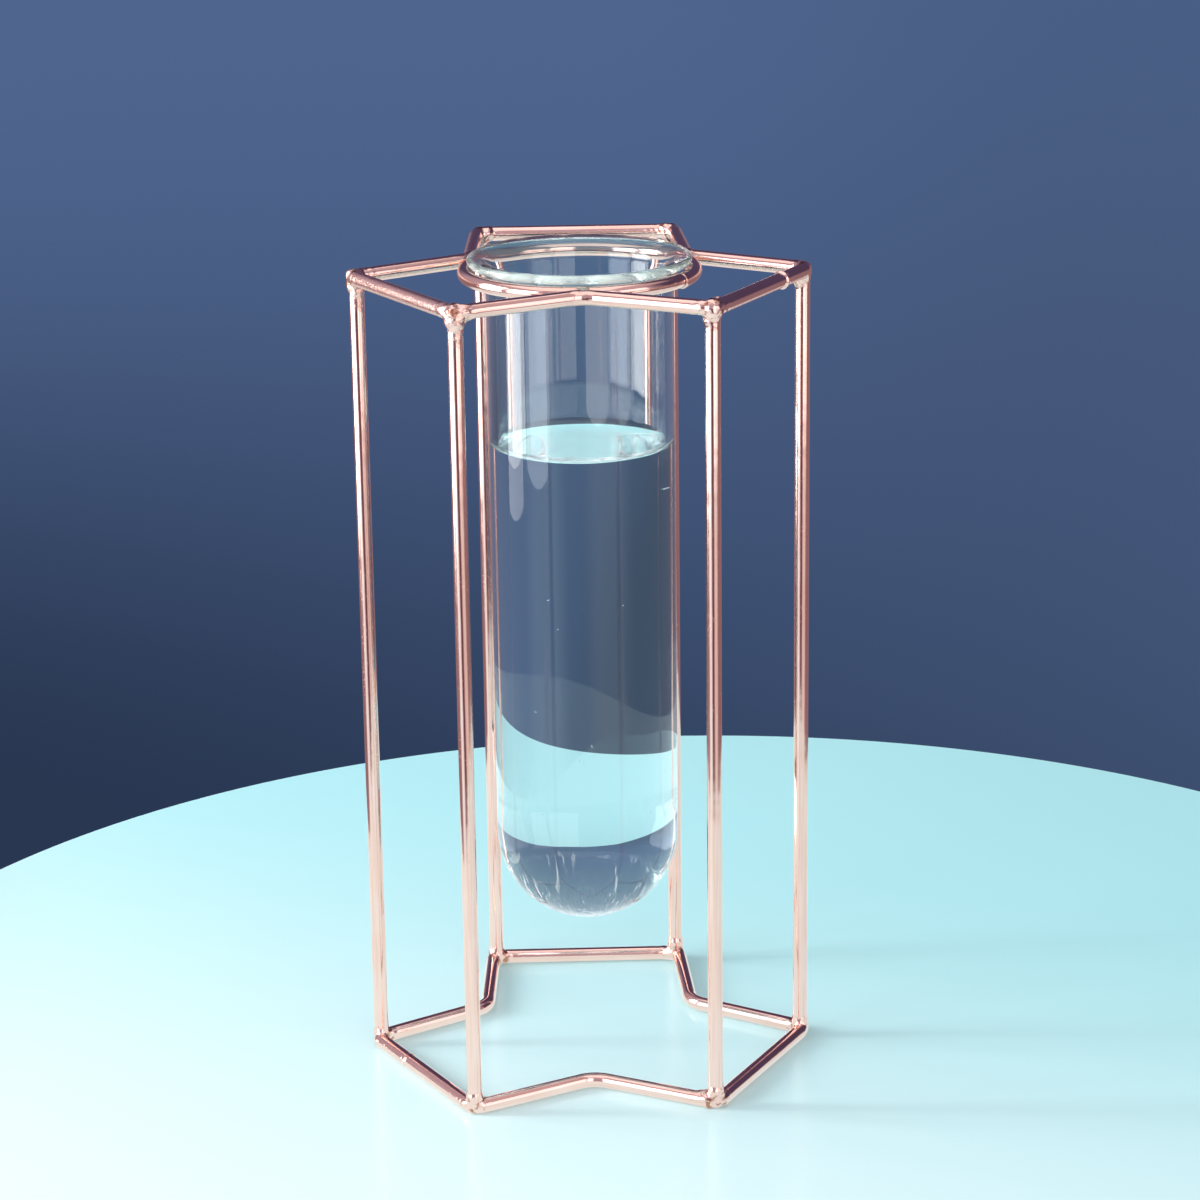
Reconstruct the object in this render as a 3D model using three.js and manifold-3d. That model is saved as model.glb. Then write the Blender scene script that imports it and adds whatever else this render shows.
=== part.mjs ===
import * as THREE from 'three';
import { mergeVertices } from 'three/addons/utils/BufferGeometryUtils.js';
import Module from 'manifold-3d';

// Hydroponic vase: a glass test tube hangs by its flared lip in a ring, which is welded into the
// three notches of an open stand made of bent wire. Millimetres, +Z up, standing on z = 0. The
// origin is under the centre of the stand's footprint.

// Driving dimensions of the stand
const wireDiameter = 3.2; // every wire
const frameHeight = 177.2; // from the table to the top of the upper loop
const armReach = 43; // from the tube's axis to the centreline of an arm's end
const armWidth = 44; // along an arm's end, between the sharp corners of its centreline
const cornerBend = 3; // centreline radius of the tight bends at the arms' corners
const notchBend = 6.5; // centreline radius of the softer bends between the arms

// Driving dimensions of the glass
const tubeDiameter = 40;
const tubeLength = 149; // from the round bottom to the top of the lip
const glassWall = 2;
const lipFlare = 3; // outer radius of the bend below the lip

// Driving dimensions of the seat and the welds
const ringOffset = 1.3; // from the middle of the lip's edge out to the ring's centreline
const seatGap = 0.3; // between pieces that touch
const weldSwell = 0.9; // how far an upright's weld stands out from its wire
const weldHeight = 2.4; // how far that weld runs along the upright, from the loop's wire
const nuggetRadius = 1.3; // weld nuggets between the ring and the notches
const buttSwell = 0.25; // upset collar where the ends of a loop's wire meet
const buttLength = 1.8;
const buttFromCorner = 11.5; // from the nearest sharp corner

// Fineness of the round stretches
const wireSides = 12;
const uprightSides = 16;
const cornerSteps = 6;
const notchSteps = 4;
const ringSteps = 48;
const glassSides = 48;
const bendSteps = 6;
const bottomSteps = 8;

const wireRadius = wireDiameter / 2;
const tubeRadius = tubeDiameter / 2;
const lipRadius = tubeRadius + lipFlare; // middle of the lip's rounded edge
const ringRadius = lipRadius + ringOffset;
const notchRadius = ringRadius + wireDiameter + seatGap; // centreline, where a notch meets the ring
const lowerLevel = wireRadius;
const upperLevel = frameHeight - wireRadius;

// The arms, counter-clockwise from the back one, with the uprights at their first and second corner
const arms = [
  { uprights: ['upright_back_right', 'upright_back_left'] },
  { uprights: ['upright_left_back', 'upright_left_front'] },
  { uprights: ['upright_right_front', 'upright_right_back'] },
];
const armPitch = (2 * Math.PI) / arms.length;
arms.forEach((arm, index) => {
  arm.angle = Math.PI / 2 + index * armPitch;
});
const [, leftArm, rightArm] = arms;

const wasm = await Module();
wasm.setup();

// Turns a closed geometry into a solid that can be joined and cut
function toSolid(geometry) {
  const bare = geometry.clone();
  bare.deleteAttribute('normal');
  bare.deleteAttribute('uv');
  const merged = mergeVertices(bare);
  const corners = merged.index.array;
  const triangles = [];
  for (let i = 0; i < corners.length; i += 3) {
    const [a, b, c] = corners.slice(i, i + 3);
    if (a !== b && b !== c && c !== a) triangles.push(a, b, c);
  }
  return new wasm.Manifold(
    new wasm.Mesh({
      numProp: 3,
      vertProperties: merged.attributes.position.array,
      triVerts: new Uint32Array(triangles),
    }),
  );
}

function toGeometry(solid) {
  const { vertProperties, triVerts } = solid.getMesh();
  const geometry = new THREE.BufferGeometry();
  geometry.setAttribute('position', new THREE.BufferAttribute(vertProperties, 3));
  geometry.setIndex(new THREE.BufferAttribute(triVerts, 1));
  geometry.computeVertexNormals();
  return geometry;
}

function arcPoints(centre, radius, start, end, steps) {
  const clockwise = end < start;
  return new THREE.EllipseCurve(centre.x, centre.y, radius, radius, start, end, clockwise)
    .getPoints(steps);
}

// One arm's end, with the arm pointing along +X. Both corners turn by the same angle, from the end's
// straight edge to a link that runs on into the notch as a tangent of the notch's bend.
function armShape() {
  const corner = new THREE.Vector2(armReach, armWidth / 2);
  const notchCentre = new THREE.Vector2(notchRadius + notchBend, 0)
    .rotateAround(new THREE.Vector2(), armPitch / 2);
  const toCentre = notchCentre.clone().sub(corner);
  const linkAngle = toCentre.angle() + Math.asin(notchBend / toCentre.length());
  const turn = linkAngle - Math.PI / 2;
  const setBack = cornerBend * Math.tan(turn / 2);
  const bendCentre = corner.clone().sub(new THREE.Vector2(cornerBend, setBack));
  return { notchCentre, linkAngle, turn, bendCentre };
}

// Where an upright stands, at the middle of a corner's bend; side is 1 or -1
function uprightPlace(side) {
  const { turn, bendCentre } = armShape();
  return new THREE.Vector2(
    bendCentre.x + cornerBend * Math.cos(turn / 2),
    side * (bendCentre.y + cornerBend * Math.sin(turn / 2)),
  );
}

// Stations along the butt weld of a loop, across the arm's end at height y on the arm's own axes
function buttWeld(y) {
  return [-1, -0.5, 0, 0.5, 1].map((place) => ({
    point: new THREE.Vector2(armReach, y + (place * buttLength) / 2),
    swell: buttSwell * (1 - place * place),
  }));
}

// The closed centreline of a loop as stations, each with a point and how much the wire swells there
function loopStations(weldedArm, weldSide) {
  const { notchCentre, linkAngle, turn, bendCentre } = armShape();
  const mirrored = new THREE.Vector2(bendCentre.x, -bendCentre.y);
  const inward = armPitch / 2 + Math.PI;
  const notchStart = linkAngle + Math.PI / 2;
  const plain = (points) => points.map((point) => ({ point, swell: 0 }));
  return arms.flatMap((arm) => {
    const weld = arm === weldedArm ? buttWeld(weldSide * (armWidth / 2 - buttFromCorner)) : [];
    const stations = [
      ...plain(arcPoints(mirrored, cornerBend, -turn, 0, cornerSteps)),
      ...weld,
      ...plain(arcPoints(bendCentre, cornerBend, 0, turn, cornerSteps)),
      ...plain(arcPoints(notchCentre, notchBend, notchStart, 2 * inward - notchStart, notchSteps)),
    ];
    stations.forEach(({ point }) => point.rotateAround(new THREE.Vector2(), arm.angle));
    return stations;
  });
}

function ringStations() {
  const circle = new THREE.EllipseCurve(0, 0, ringRadius, ringRadius).getPoints(ringSteps);
  return circle.slice(1).map((point) => ({ point, swell: 0 }));
}

// A closed ring of wire, lofted through its stations with mitred sections. The section has a flat
// at its lowest line, so that a loop rests on the table on a face, and a weld collar is dressed flush
// there. Growth thickens the wire all round.
function closedWire(stations, growth = 0) {
  const positions = [];
  const faces = [];
  stations.forEach(({ point, swell }, i) => {
    const before = stations.at(i - 1).point;
    const after = stations[(i + 1) % stations.length].point;
    const entry = point.clone().sub(before).normalize();
    const exit = after.clone().sub(point).normalize();
    const along = entry.clone().add(exit).normalize();
    const outward = new THREE.Vector2(along.y, -along.x).divideScalar(along.dot(entry));
    const reach = (wireRadius + swell + growth) / Math.cos(Math.PI / wireSides);
    const next = ((i + 1) % stations.length) * wireSides;
    for (let j = 0; j < wireSides; j++) {
      const angle = ((j + 0.5) * 2 * Math.PI) / wireSides;
      const across = reach * Math.cos(angle);
      positions.push(
        point.x + outward.x * across,
        point.y + outward.y * across,
        Math.max(reach * Math.sin(angle), -wireRadius - growth),
      );
      const a = i * wireSides + j;
      const b = i * wireSides + ((j + 1) % wireSides);
      const c = next + ((j + 1) % wireSides);
      const d = next + j;
      faces.push(a, d, c, a, c, b);
    }
  });
  const geometry = new THREE.BufferGeometry();
  geometry.setAttribute('position', new THREE.Float32BufferAttribute(positions, 3));
  geometry.setIndex(faces);
  geometry.computeVertexNormals();
  return geometry;
}

// A solid of revolution about Z, from a profile of points with x as radius and y as height
function revolved(profile, sides) {
  return new THREE.LatheGeometry(profile, sides).rotateX(Math.PI / 2);
}

// One upright on its own axis. Each end flares into a weld that straddles the loop's wire as far as
// its centreline.
function uprightBlank() {
  const flareLength = wireRadius + weldHeight;
  const flareRadius = wireRadius + weldSwell;
  const halfSpan = (upperLevel - lowerLevel) / 2;
  const flare = new THREE.EllipseCurve(
    flareRadius, halfSpan - flareLength, weldSwell, flareLength, Math.PI, Math.PI / 2, true,
  ).getPoints(bendSteps);
  const upper = [...flare, new THREE.Vector2(0, halfSpan)];
  const lower = upper.map(({ x, y }) => new THREE.Vector2(x, -y)).reverse();
  return revolved([...lower, ...upper], uprightSides)
    .translate(0, 0, (upperLevel + lowerLevel) / 2);
}

// An upright at one corner of an arm that points along +X, its ends coped to fit round both loops
function upright(side) {
  const { x, y } = uprightPlace(side);
  const loop = toSolid(closedWire(loopStations(), seatGap));
  const aligned = loop.rotate([0, 0, THREE.MathUtils.radToDeg(-arms[0].angle)]);
  return toGeometry(
    toSolid(uprightBlank())
      .translate([x, y, 0])
      .subtract(aligned.translate([0, 0, lowerLevel]))
      .subtract(aligned.translate([0, 0, upperLevel])),
  );
}

// The ring that holds the tube, with a weld nugget at each notch, shaped to the notch's wire
function holderRing() {
  const nugget = toSolid(new THREE.SphereGeometry(nuggetRadius, wireSides, wireSides / 2));
  const nuggets = arms.map(({ angle }) => {
    const place = new THREE.Vector2(ringRadius + wireRadius + seatGap / 2, 0)
      .rotateAround(new THREE.Vector2(), angle + armPitch / 2);
    return nugget.translate([place.x, place.y, 0]);
  });
  const ring = nuggets.reduce((sum, part) => sum.add(part), toSolid(closedWire(ringStations())));
  return toGeometry(ring.subtract(toSolid(closedWire(loopStations(), seatGap))));
}

// The glass: a tube with a round bottom, its mouth flared to a lip whose edge is as thick as the wall.
// Its profile runs up the outside, over the lip and down the inside. Height 0 is the middle of the lip.
function glassTube() {
  const innerRadius = tubeRadius - glassWall;
  const bend = new THREE.Vector2(lipRadius, -lipFlare - glassWall / 2);
  const bottom = new THREE.Vector2(0, glassWall / 2 - tubeLength + tubeRadius);
  const lipEdge = new THREE.Vector2(lipRadius, 0);
  const right = Math.PI / 2;
  const profile = [
    ...arcPoints(bottom, tubeRadius, -right, 0, bottomSteps),
    ...arcPoints(bend, lipFlare, 2 * right, right, bendSteps),
    ...arcPoints(lipEdge, glassWall / 2, -right, right, bendSteps).slice(1, -1),
    ...arcPoints(bend, lipFlare + glassWall, right, 2 * right, bendSteps),
    ...arcPoints(bottom, innerRadius, 0, -right, bottomSteps),
  ];
  [profile[0], profile.at(-1)].forEach((pole) => {
    pole.x = 0;
  });
  return revolved(profile, glassSides);
}

// Height of the lip above the ring's centreline, where its rounded edge comes to rest on the wire
function lipRise() {
  const reach = wireRadius + glassWall / 2 + seatGap;
  return Math.sqrt(reach * reach - ringOffset * ringOffset);
}

function plating() {
  return new THREE.MeshStandardMaterial({ color: 0xd9a594, metalness: 1, roughness: 0.16 });
}

function glass() {
  return new THREE.MeshStandardMaterial({
    color: 0xe4f2ec, metalness: 0, roughness: 0.05, transparent: true, opacity: 0.35,
  });
}

// Centres the stand's footprint on the origin
const vase = new THREE.Group();
const footprint = new THREE.Box2().setFromPoints(loopStations().map(({ point }) => point));
const footprintCentre = footprint.getCenter(new THREE.Vector2());
vase.position.set(-footprintCentre.x, -footprintCentre.y, 0);

function place(name, geometry, material, height = 0) {
  const mesh = new THREE.Mesh(geometry, material);
  mesh.name = name;
  mesh.position.z = height;
  vase.add(mesh);
  return mesh;
}

place('lower_loop', closedWire(loopStations(leftArm, -1)), plating(), lowerLevel);
place('upper_loop', closedWire(loopStations(rightArm, 1)), plating(), upperLevel);
place('holder_ring', holderRing(), plating(), upperLevel);
const corners = [upright(-1), upright(1)];
arms.forEach(({ uprights, angle }) => {
  uprights.forEach((name, i) => {
    place(name, corners[i], plating()).rotation.z = angle;
  });
});
place('glass_tube', glassTube(), glass(), upperLevel + lipRise());

const object = new THREE.Group();
object.add(vase);

export default object;
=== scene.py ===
# Hydroponic vase: a glass test tube that holds water and hangs in the ring of an open stand, which is
# welded from rose-gold plated wire. Shapes are worked out in millimetres round the tube's axis and
# turned into metres, in the model's own frame, where a mesh is made.
import math

import bpy
import numpy as np
from mathutils import Matrix, Vector


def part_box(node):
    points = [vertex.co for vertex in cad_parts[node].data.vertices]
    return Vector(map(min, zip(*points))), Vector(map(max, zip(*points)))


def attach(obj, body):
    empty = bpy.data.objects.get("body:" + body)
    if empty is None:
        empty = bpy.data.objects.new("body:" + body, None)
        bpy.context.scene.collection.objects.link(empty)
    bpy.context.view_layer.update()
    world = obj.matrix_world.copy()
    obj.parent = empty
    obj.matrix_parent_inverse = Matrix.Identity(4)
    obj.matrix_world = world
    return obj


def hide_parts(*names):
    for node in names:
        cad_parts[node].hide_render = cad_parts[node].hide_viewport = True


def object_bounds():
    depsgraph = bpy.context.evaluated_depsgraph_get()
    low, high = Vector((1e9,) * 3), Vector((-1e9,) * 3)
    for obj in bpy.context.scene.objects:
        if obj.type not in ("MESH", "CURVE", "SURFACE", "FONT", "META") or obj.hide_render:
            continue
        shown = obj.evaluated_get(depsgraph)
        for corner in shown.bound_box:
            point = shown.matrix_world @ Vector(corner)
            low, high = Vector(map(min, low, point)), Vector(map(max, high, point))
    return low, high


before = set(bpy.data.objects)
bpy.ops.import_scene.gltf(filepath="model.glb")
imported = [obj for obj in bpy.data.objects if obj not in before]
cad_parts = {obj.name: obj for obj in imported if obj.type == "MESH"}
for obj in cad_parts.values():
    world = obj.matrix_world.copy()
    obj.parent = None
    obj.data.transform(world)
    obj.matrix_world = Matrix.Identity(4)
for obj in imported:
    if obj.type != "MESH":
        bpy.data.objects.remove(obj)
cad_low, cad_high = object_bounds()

MM = 0.001
RIGHT_ANGLE = math.pi / 2

# Driving sizes of the stand
WIRE_RADIUS = 1.6
ARM_REACH = 43.0
ARM_WIDTH = 44.0
CORNER_BEND = 3.0
NOTCH_BEND = 6.5
SEAT_GAP = 0.3
BUTT_FROM_CORNER = {"lower": 15.2, "upper": 13.0}
BUTT_RIDGE = {"lower": 0.08, "upper": 0.32}
BUTT_RIDGE_WIDTH = 0.5
BUTT_GROOVE_SHARE = 0.35
BUTT_GROOVE_PLACE = 0.85
BUTT_GROOVE_WIDTH = 0.22
BUTT_REACH = 4.0

# The ring's butt weld: the angle that it faces, how its end steps out and down from its start, how proud
# that end is, and the crack beside it
RING_JOINT_ANGLE = math.radians(-32)
RING_STEP = 0.14
RING_STEP_WIDTH = 0.25
RING_STEP_FADE = 14.0
RING_STEP_DROP = 0.6
RING_PROUD = 0.08
RING_PROUD_FADE = 2.0
CRACK_DEPTH = 0.13
CRACK_PLACE = 0.1
CRACK_WIDTH = 0.16

# Driving sizes of the glass and the water
GLASS_WALL = 2.0
LIP_FLARE = 3.0
WATER_LEVEL = 137.4
MENISCUS_RISE = 2.0
MENISCUS_WIDTH = 1.3
RIPPLE = 0.035
WATER_CLEARANCE = 0.01

# Fineness of the meshes
WIRE_SIDES = 40
FINE_STEP = 0.2
COARSE_EVERY = 8
WELD_REACH = 7.0
BUTT_FINE = 2.5
RING_FINE = 3.0
RING_FINE_STEP = 0.08
RING_COARSE_STEP = 0.4
GLASS_SIDES = 240


def box(node):
    """Lowest and highest corner of a node of the model, in millimetres."""
    return [np.array(corner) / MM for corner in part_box(node)]


TUBE_LOW, TUBE_HIGH = box("glass_tube")
RING_LOW, RING_HIGH = box("holder_ring")
AXIS = (TUBE_LOW[:2] + TUBE_HIGH[:2]) / 2
LOWER_LEVEL = WIRE_RADIUS
UPPER_LEVEL = RING_HIGH[2] - WIRE_RADIUS
RING_RADIUS = (RING_HIGH[0] - RING_LOW[0]) / 2 - WIRE_RADIUS
NOTCH_RADIUS = RING_RADIUS + 2 * WIRE_RADIUS + SEAT_GAP
LIP_RADIUS = (TUBE_HIGH[0] - TUBE_LOW[0]) / 2 - GLASS_WALL / 2
TUBE_RADIUS = LIP_RADIUS - LIP_FLARE
LEVELS = {"lower": LOWER_LEVEL, "upper": UPPER_LEVEL}
ARM_PITCH = 2 * math.pi / 3
ARM_ANGLES = {arm: RIGHT_ANGLE + i * ARM_PITCH for i, arm in enumerate(("back", "left", "right"))}
# Each upright's arm and the side of the arm that it stands on, counter-clockwise being 1
UPRIGHTS = {
    "upright_back_right": ("back", -1),
    "upright_back_left": ("back", 1),
    "upright_left_back": ("left", -1),
    "upright_left_front": ("left", 1),
    "upright_right_front": ("right", -1),
    "upright_right_back": ("right", 1),
}
UP = np.array([0.0, 0.0, 1.0])


def polar(angles, radius=1.0):
    """Points of a circle round the origin, at one angle or at many."""
    return radius * np.stack([np.cos(angles), np.sin(angles)], axis=-1)


def round_angles(count):
    return 2 * math.pi * np.arange(count) / count


def turned(points, angle):
    """Points or vectors turned about the tube's axis; the last coordinate of a 3-D one is kept."""
    c, s = math.cos(angle), math.sin(angle)
    result = np.array(points, dtype=float)
    x, y = result[..., 0].copy(), result[..., 1].copy()
    result[..., 0] = c * x - s * y
    result[..., 1] = s * x + c * y
    return result


# The outline that both loops are bent to, for an arm that points along +X
CORNER = np.array([ARM_REACH, ARM_WIDTH / 2])
NOTCH_CENTRE = polar(ARM_PITCH / 2, NOTCH_RADIUS + NOTCH_BEND)
TO_NOTCH = NOTCH_CENTRE - CORNER
LINK_ANGLE = math.atan2(TO_NOTCH[1], TO_NOTCH[0]) + math.asin(NOTCH_BEND / np.linalg.norm(TO_NOTCH))
CORNER_TURN = LINK_ANGLE - RIGHT_ANGLE
BEND_CENTRE = CORNER - np.array([CORNER_BEND, CORNER_BEND * math.tan(CORNER_TURN / 2)])
LINK_START = BEND_CENTRE + polar(CORNER_TURN, CORNER_BEND)
LINK_END = NOTCH_CENTRE + polar(LINK_ANGLE + RIGHT_ANGLE, NOTCH_BEND)
INWARD = ARM_PITCH / 2 + math.pi


def upright_place(name):
    """Where an upright stands, at the middle of a corner's bend."""
    arm, side = UPRIGHTS[name]
    place = BEND_CENTRE + polar(CORNER_TURN / 2, CORNER_BEND)
    return turned([place[0], side * place[1]], ARM_ANGLES[arm])


def corner_axes(name):
    """Directions at an upright's corner: out from the stand, along the arm's end and along the link."""
    arm, side = UPRIGHTS[name]
    out = polar(CORNER_TURN / 2)
    link = polar(LINK_ANGLE)
    flat = [(out[0], side * out[1], 0), (0, -side, 0), (link[0], side * link[1], 0)]
    return [turned(v, ARM_ANGLES[arm]) for v in flat]


# Paths

def line_run(start, end):
    way = np.subtract(end, start)
    length = np.linalg.norm(way)
    count = max(2, round(length / FINE_STEP))
    share = np.arange(count)[:, None] / count
    return start + share * way, np.tile(way / length, (count, 1))


def arc_run(centre, radius, start, end):
    count = max(6, round(abs(end - start) * radius / FINE_STEP))
    angles = start + (end - start) * np.arange(count) / count
    return centre + polar(angles, radius), polar(angles + math.copysign(RIGHT_ANGLE, end - start))


def loop_path():
    """The loops' closed centreline as points and headings, counter-clockwise from the back arm."""
    flip = np.array([1, -1])
    runs = [
        arc_run(BEND_CENTRE * flip, CORNER_BEND, -CORNER_TURN, 0),
        line_run([ARM_REACH, -BEND_CENTRE[1]], [ARM_REACH, BEND_CENTRE[1]]),
        arc_run(BEND_CENTRE, CORNER_BEND, 0, CORNER_TURN),
        line_run(LINK_START, LINK_END),
        arc_run(NOTCH_CENTRE, NOTCH_BEND, LINK_ANGLE + RIGHT_ANGLE, 2 * INWARD - LINK_ANGLE - RIGHT_ANGLE),
        line_run(turned(LINK_END * flip, ARM_PITCH), turned(LINK_START * flip, ARM_PITCH)),
    ]
    third = [np.vstack(part) for part in zip(*runs)]
    return [np.vstack([turned(part, angle) for angle in ARM_ANGLES.values()]) for part in third]


def travelled(points):
    steps = np.linalg.norm(np.diff(points, axis=0), axis=1)
    return np.concatenate([[0], np.cumsum(steps)])


# Welds: each is a field that is negative inside the metal, blended from the wires that meet and from
# beads of filler, and roughened by a few waves

WAVE_COUNT = 7
WAVE_SPREAD = (0.7, 1.6)
WELD_WAVELENGTH = 1.7
WELD_SPREAD = 3.2
COLLAR_BLEND = 0.3
# How far a weld may stand out from a wire or sink into it, and how the search for its skin goes
WELD_OUT = 2.3
WELD_IN = -0.2
SKIN_STEPS = 36
SKIN_STRIDE = 0.8
SKIN_CLOSE = 0.05


def smooth_min(a, b, blend):
    h = np.maximum(blend - np.abs(a - b), 0) / blend
    return np.minimum(a, b) - h * h * blend / 4


def segment_distance(p, start, end):
    """Distance to a straight piece, which may have no length."""
    start, along = np.asarray(start, float), np.subtract(end, start)
    share = np.clip(((p - start) @ along) / max(along @ along, 1e-12), 0, 1)
    return np.linalg.norm(p - start - share[:, None] * along, axis=1)


def arc_distance(q, centre, radius, start, end):
    v = q - centre
    angle = np.mod(np.arctan2(v[:, 1], v[:, 0]) - start, 2 * math.pi)
    distance = np.abs(np.linalg.norm(v, axis=1) - radius)
    return np.where(angle <= end - start, distance, 1e3)


def loop_distance(p, level):
    """Distance to a loop's wire. Points are folded into half of one arm, because all halves are alike."""
    angle = np.arctan2(p[:, 1], p[:, 0]) - ARM_ANGLES["back"]
    folded = np.abs(np.mod(angle + ARM_PITCH / 2, ARM_PITCH) - ARM_PITCH / 2)
    radius = np.linalg.norm(p[:, :2], axis=1)
    q = polar(folded, radius[:, None])
    flat = np.minimum.reduce([
        segment_distance(q, [ARM_REACH, 0], [ARM_REACH, BEND_CENTRE[1]]),
        arc_distance(q, BEND_CENTRE, CORNER_BEND, 0, CORNER_TURN),
        segment_distance(q, LINK_START, LINK_END),
        arc_distance(q, NOTCH_CENTRE, NOTCH_BEND, INWARD, LINK_ANGLE + RIGHT_ANGLE),
    ])
    return np.hypot(flat, p[:, 2] - level) - WIRE_RADIUS


def upright_distance(p, place):
    return segment_distance(p, [*place, LOWER_LEVEL], [*place, UPPER_LEVEL]) - WIRE_RADIUS


def ring_distance(p):
    return np.hypot(np.linalg.norm(p[:, :2], axis=1) - RING_RADIUS, p[:, 2] - UPPER_LEVEL) - WIRE_RADIUS


def collar_distance(p, collar):
    """A thin ridge round a wire: its centre, the wire's direction, its radius and its thickness."""
    centre, along, radius, thickness = collar
    v = p - centre
    lift = v @ along
    return np.hypot(np.linalg.norm(v - lift[:, None] * along, axis=1) - radius, lift) - thickness


class Waves:
    """A smooth bumpy field between about -1 and 1, made of a few plane waves."""

    def __init__(self, seed, length):
        rng = np.random.default_rng(seed)
        ways = rng.normal(size=(WAVE_COUNT, 3))
        ways /= np.linalg.norm(ways, axis=1)[:, None]
        self.ways = ways * (2 * math.pi / (length * rng.uniform(*WAVE_SPREAD, WAVE_COUNT)))[:, None]
        self.phases = rng.uniform(0, 2 * math.pi, WAVE_COUNT)
        self.scale = math.sqrt(2 / WAVE_COUNT)

    def __call__(self, p):
        return self.scale * np.sin(p @ self.ways.T + self.phases).sum(axis=1) / 2


class Weld:
    """Where wires meet: its centre, the wires' fields, beads, collars, blend and roughness."""

    def __init__(self, centre, wires, beads, collars, blend, roughness, seed):
        self.centre = np.asarray(centre, float)
        self.wires, self.beads, self.collars = wires, beads, collars
        self.blend, self.roughness = blend, roughness
        self.waves = Waves(seed, WELD_WAVELENGTH)

    def nearness(self, p):
        return np.exp(-((np.linalg.norm(p - self.centre, axis=1) / WELD_SPREAD) ** 2))

    def __call__(self, p):
        field = self.wires[0](p)
        for wire in self.wires[1:]:
            field = smooth_min(field, wire(p), self.blend)
        for start, end, radius in self.beads:
            field = smooth_min(field, segment_distance(p, start, end) - radius, self.blend)
        for collar in self.collars:
            field = smooth_min(field, collar_distance(p, collar), COLLAR_BLEND)
        return field - self.roughness * self.nearness(p) * self.waves(p)

    def normals(self, p):
        step = 0.02
        slope = [self(p + step * way) - self(p - step * way) for way in np.eye(3)]
        slope = np.stack(slope, axis=1)
        return slope / np.linalg.norm(slope, axis=1)[:, None]


def corner_plan(blend, roughness, *beads, collars=()):
    """How a corner was welded. A bead is a rod from one point to another with a radius, and a collar is a
    ridge at a point, with a radius and a thickness. Points are on the corner's own axes: distances out,
    along the arm's end, along the link and up, with up turned over at the lower loop."""
    return blend, roughness, beads, collars


PLAIN_CORNER = corner_plan(0.8, 0.09, ((0.1, 0, 0, -1.2), (0.1, 0, 0, -1.9), 1.7))
CORNERS = {
    ("upright_left_front", "upper"): corner_plan(
        0.7, 0.28,
        ((0.3, 0, 0, -0.7), (0.35, 0, 0, -1.6), 2.0),
        ((0.2, 0, 1.3, -1.3), (0, 0, 2.6, -0.9), 1.3),
        ((0.9, 0.5, 0, 0.1), (0.6, 1.0, 0, 0.0), 1.25),
        ((0.5, 0, 0.7, -2.6), (0.4, 0, 0.5, -3.3), 1.15),
    ),
    ("upright_right_front", "upper"): corner_plan(
        0.6, 0.14,
        ((0.35, 0, 0, 0.0), (0.35, 0, 0, -0.5), 1.9),
        ((0.3, 0, 0.4, -1.9), (0.2, 0, 0.6, -2.5), 1.5),
        ((0.1, 0.9, 0, -1.5), (0.1, 0.9, 0, -1.9), 1.2),
        collars=[((0.0, 2.5, 0, 0.0), 1.52, 0.28)],
    ),
    ("upright_left_back", "upper"): corner_plan(
        0.55, 0.12,
        ((0.9, 0, 0, 0.35), (0.9, 0, 0, 0.35), 1.35),
        ((0.95, 0, 0, -1.6), (0.9, 0, 0, -1.9), 1.3),
        ((0.1, 0.5, 0, -2.6), (0.1, 0.4, 0, -3.0), 1.3),
    ),
    ("upright_right_back", "upper"): corner_plan(0.9, 0.08, ((0, 0.2, 0.4, -1.4), (0, 0.2, 0.6, -2.0), 1.7)),
    ("upright_back_left", "upper"): corner_plan(
        0.6, 0.16,
        ((-0.3, 0.8, 0, -0.3), (-0.3, 1.2, 0, 0.2), 1.45),
        ((0, 0, 0, -1.6), (0, 0, 0, -2.1), 1.7),
    ),
    ("upright_back_right", "upper"): corner_plan(
        0.6, 0.16,
        ((-0.3, 0.8, 0, -0.2), (-0.3, 0.8, 0, 0.4), 1.4),
        ((0, 0, 0, -1.6), (0, 0, 0, -2.2), 1.7),
    ),
    ("upright_left_front", "lower"): corner_plan(
        0.7, 0.12,
        ((0.2, 0, 0, -0.8), (0.1, 0, 0, -2.0), 1.72),
        ((0.4, 0.8, 0, -0.2), (0.3, 1.4, 0, -0.2), 1.45),
    ),
    ("upright_right_front", "lower"): corner_plan(
        0.6, 0.3,
        ((0.1, 0, 0, -1.3), (0.1, 0, 0, -2.1), 1.7),
        ((0.1, 2.2, 0, -0.7), (0.1, 2.8, 0, -0.6), 1.15),
        ((0.0, 0, 2.4, -0.7), (0.0, 0, 3.1, -0.6), 1.15),
    ),
    ("upright_left_back", "lower"): corner_plan(
        0.45, 0.2,
        ((0.75, 0, 0, -1.1), (0.75, 0, 0, -1.1), 1.15),
        ((0.2, 0.9, 0, -1.7), (0.3, 0.9, 0, -1.9), 1.0),
        ((0.1, 0, 0.9, -1.5), (0.1, 0, 0.9, -1.5), 1.0),
    ),
    ("upright_back_right", "lower"): corner_plan(
        0.8, 0.16,
        ((0.1, 0, 0, -1.3), (0.1, 0, 0.3, -3.0), 1.65),
        ((-0.2, 0.9, 0, -0.3), (-0.2, 0.9, 0, -0.3), 1.55),
    ),
}


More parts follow.
